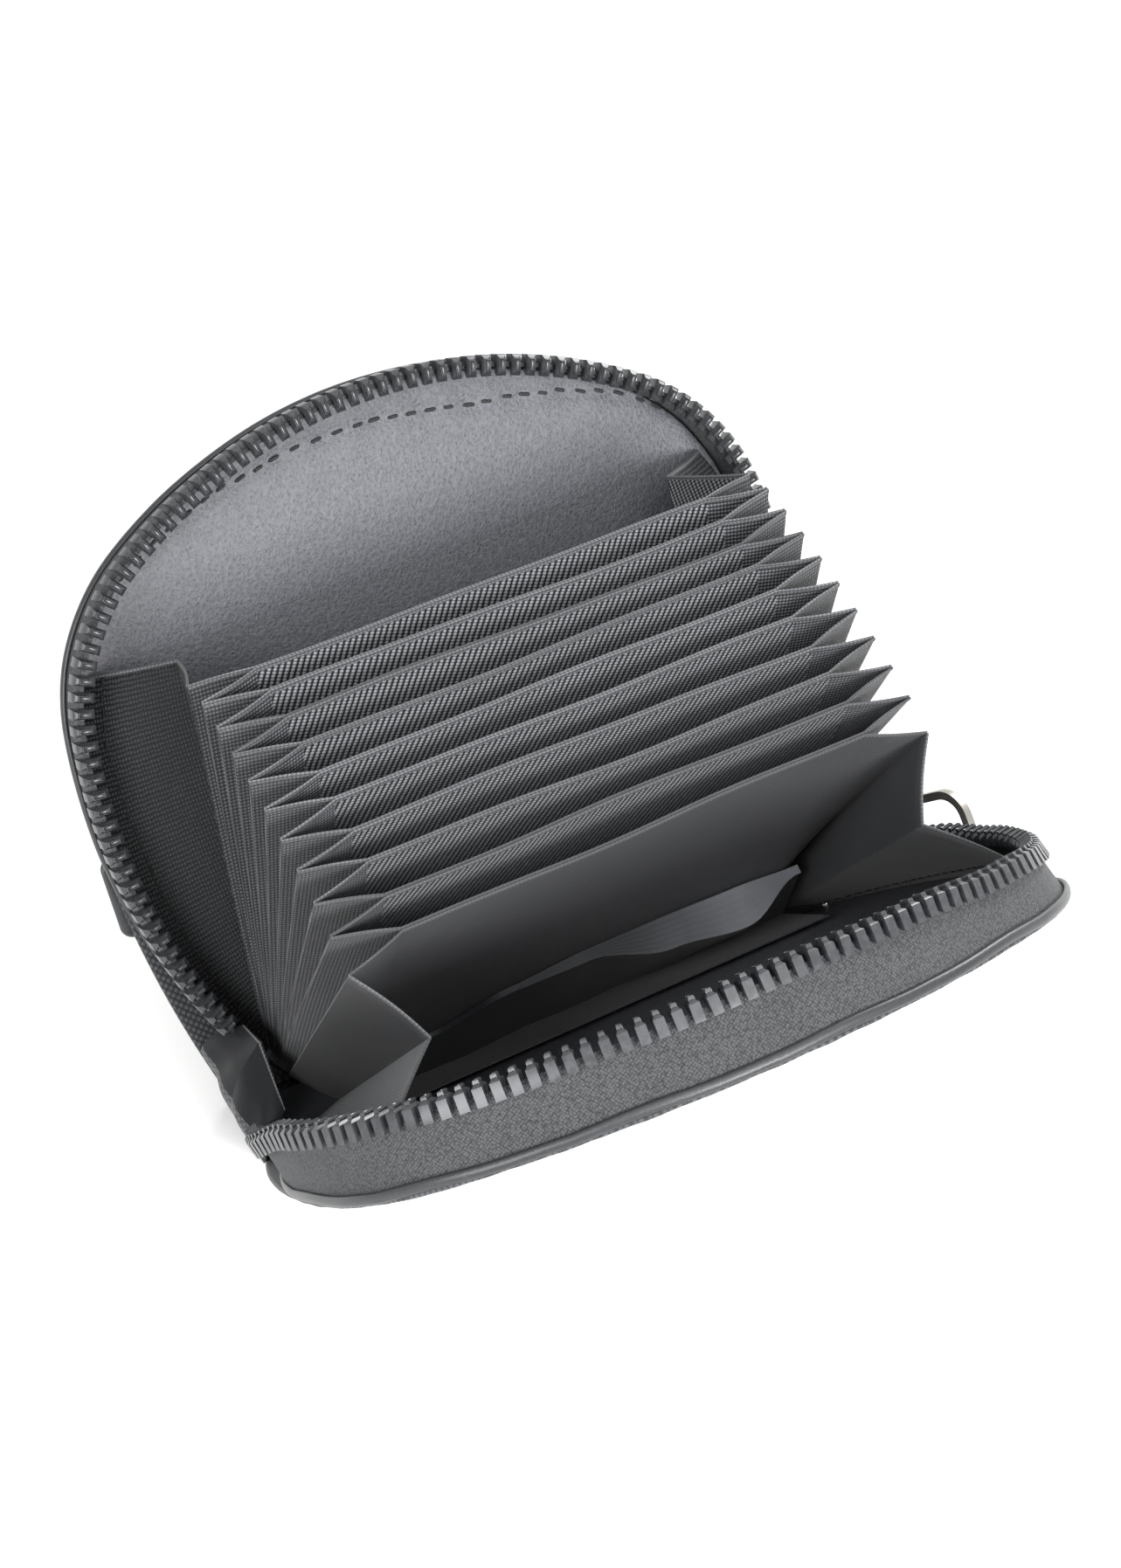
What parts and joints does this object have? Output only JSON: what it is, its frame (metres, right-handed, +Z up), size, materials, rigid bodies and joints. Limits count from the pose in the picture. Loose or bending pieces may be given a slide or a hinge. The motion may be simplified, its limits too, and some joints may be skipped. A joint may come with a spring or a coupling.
{
  "type": "accordion card wallet",
  "caption": "Rounded zip-around card wallet, standing open on its spine, with a fan of pleated card pockets between two hinged covers.",
  "frame": {"origin": "middle of the spine's underside, where the open wallet rests", "axes": "+X along the spine to the slider's end, +Y to the back cover, +Z up"},
  "size_m": [0.1194, 0.1346, 0.087],
  "materials": {
    "shell_nylon": "plain-woven black nylon, soft sheen",
    "lining_leather": "smooth dark grey leather, fine grain, satin",
    "divider_twill": "charcoal twill with a thin folded hem",
    "gusset_cloth": "charcoal cloth, fine ribs, soft sheen",
    "zip_tape": "charcoal herringbone tape",
    "zip_metal": "black-nickel zip metal, glossy",
    "puller_metal": "polished gunmetal",
    "board": "stiff padded board, hidden",
    "piping_leather": "turned leather edge, satin",
    "plate_metal": "blank black-nickel plate, glossy"
  },
  "bodies": {
    "spine": {"spine_panel": "shell_nylon", "accordion_base": "gusset_cloth", "back_spine_fold": "shell_nylon", "front_spine_fold": "shell_nylon", "left_end_tab": "zip_tape", "right_end_tab": "zip_tape"},
    "back_cover": {"back_shell": "shell_nylon", "back_board": "board", "back_lining": "lining_leather", "back_zip_tape": "zip_tape", "back_piping": "piping_leather", "back_zip_teeth": "zip_metal", "back_zip_stops": "zip_metal", "side_tab": "shell_nylon", "rear_end_gusset": "gusset_cloth"},
    "front_cover": {"front_shell": "shell_nylon", "front_board": "board", "front_lining": "lining_leather", "front_zip_tape": "zip_tape", "front_piping": "piping_leather", "front_zip_teeth": "zip_metal", "front_zip_stops": "zip_metal", "blank_plate": "plate_metal", "slider_body": "zip_metal", "slider_bridge": "zip_metal", "front_end_gusset": "gusset_cloth"},
    "puller": {"puller": "puller_metal"},
    "divider_01": {"divider_01": "divider_twill", "gusset_fold_01": "gusset_cloth"},
    "divider_02": {"divider_02": "divider_twill", "gusset_fold_02": "gusset_cloth"},
    "divider_03": {"divider_03": "divider_twill", "gusset_fold_03": "gusset_cloth"},
    "divider_04": {"divider_04": "divider_twill", "gusset_fold_04": "gusset_cloth"},
    "divider_05": {"divider_05": "divider_twill", "gusset_fold_05": "gusset_cloth"},
    "divider_06": {"divider_06": "divider_twill", "gusset_fold_06": "gusset_cloth"},
    "divider_07": {"divider_07": "divider_twill", "gusset_fold_07": "gusset_cloth"},
    "divider_08": {"divider_08": "divider_twill", "gusset_fold_08": "gusset_cloth"},
    "divider_09": {"divider_09": "divider_twill", "gusset_fold_09": "gusset_cloth"},
    "divider_10": {"divider_10": "divider_twill", "gusset_fold_10": "gusset_cloth", "gusset_fold_11": "gusset_cloth"}
  },
  "joints": [
    {"name": "back_cover_hinge", "type": "hinge", "parent": "spine", "child": "back_cover", "pos_m": [0, 0, 0.0125], "axis": [1, 0, 0], "range_deg": [0, 38.7], "deforming": ["back_spine_fold", "rear_end_gusset"]},
    {"name": "front_cover_hinge", "type": "hinge", "parent": "spine", "child": "front_cover", "pos_m": [0, 0, 0.0125], "axis": [1, 0, 0], "range_deg": [-38.7, 0], "deforming": ["front_spine_fold", "front_end_gusset"]},
    {"name": "divider_01_hinge", "type": "hinge", "parent": "spine", "child": "divider_01", "pos_m": [0, 0.0063, 0.0171], "axis": [1, 0, 0], "range_deg": [0, 13.39], "deforming": ["gusset_fold_01"]},
    {"name": "divider_02_hinge", "type": "hinge", "parent": "spine", "child": "divider_02", "pos_m": [0, 0.00508, 0.01644], "axis": [1, 0, 0], "range_deg": [0, 10.09], "deforming": ["gusset_fold_02"]},
    {"name": "divider_03_hinge", "type": "hinge", "parent": "spine", "child": "divider_03", "pos_m": [0, 0.00386, 0.01578], "axis": [1, 0, 0], "range_deg": [0, 6.82], "deforming": ["gusset_fold_03"]},
    {"name": "divider_04_hinge", "type": "hinge", "parent": "spine", "child": "divider_04", "pos_m": [0, 0.00264, 0.01512], "axis": [1, 0, 0], "range_deg": [0, 3.57], "deforming": ["gusset_fold_04"]},
    {"name": "divider_05_hinge", "type": "hinge", "parent": "spine", "child": "divider_05", "pos_m": [0, 0.00142, 0.01446], "axis": [1, 0, 0], "range_deg": [0, 0.335], "deforming": ["gusset_fold_05"]},
    {"name": "divider_06_hinge", "type": "hinge", "parent": "spine", "child": "divider_06", "pos_m": [0, 0.0002, 0.0138], "axis": [1, 0, 0], "range_deg": [-2.9, 0], "deforming": ["gusset_fold_06"]},
    {"name": "divider_07_hinge", "type": "hinge", "parent": "spine", "child": "divider_07", "pos_m": [0, -0.00102, 0.01314], "axis": [1, 0, 0], "range_deg": [-6.15, 0], "deforming": ["gusset_fold_07"]},
    {"name": "divider_08_hinge", "type": "hinge", "parent": "spine", "child": "divider_08", "pos_m": [0, -0.00224, 0.01248], "axis": [1, 0, 0], "range_deg": [-9.41, 0], "deforming": ["gusset_fold_08"]},
    {"name": "divider_09_hinge", "type": "hinge", "parent": "spine", "child": "divider_09", "pos_m": [0, -0.00346, 0.01182], "axis": [1, 0, 0], "range_deg": [-12.71, 0], "deforming": ["gusset_fold_09"]},
    {"name": "divider_10_hinge", "type": "hinge", "parent": "spine", "child": "divider_10", "pos_m": [0, -0.00468, 0.01116], "axis": [1, 0, 0], "range_deg": [-16.05, 0], "deforming": ["gusset_fold_10", "gusset_fold_11"]},
    {"name": "puller_swing", "type": "hinge", "parent": "front_cover", "child": "puller", "pos_m": [0.0505, -0.00203, 0.01504], "axis": [0, 0.7804, 0.6252], "range_deg": [0, 110]}
  ],
  "couplings": [
    {"joint": "front_cover_hinge", "follows": "back_cover_hinge", "ratio": -1},
    {"joint": "divider_01_hinge", "follows": "back_cover_hinge", "ratio": 0.34602},
    {"joint": "divider_02_hinge", "follows": "back_cover_hinge", "ratio": 0.26066},
    {"joint": "divider_03_hinge", "follows": "back_cover_hinge", "ratio": 0.17617},
    {"joint": "divider_04_hinge", "follows": "back_cover_hinge", "ratio": 0.092251},
    {"joint": "divider_05_hinge", "follows": "back_cover_hinge", "ratio": 0.008629},
    {"joint": "divider_06_hinge", "follows": "back_cover_hinge", "ratio": -0.074966},
    {"joint": "divider_07_hinge", "follows": "back_cover_hinge", "ratio": -0.1588},
    {"joint": "divider_08_hinge", "follows": "back_cover_hinge", "ratio": -0.24315},
    {"joint": "divider_09_hinge", "follows": "back_cover_hinge", "ratio": -0.32831},
    {"joint": "divider_10_hinge", "follows": "back_cover_hinge", "ratio": -0.41458}
  ]
}
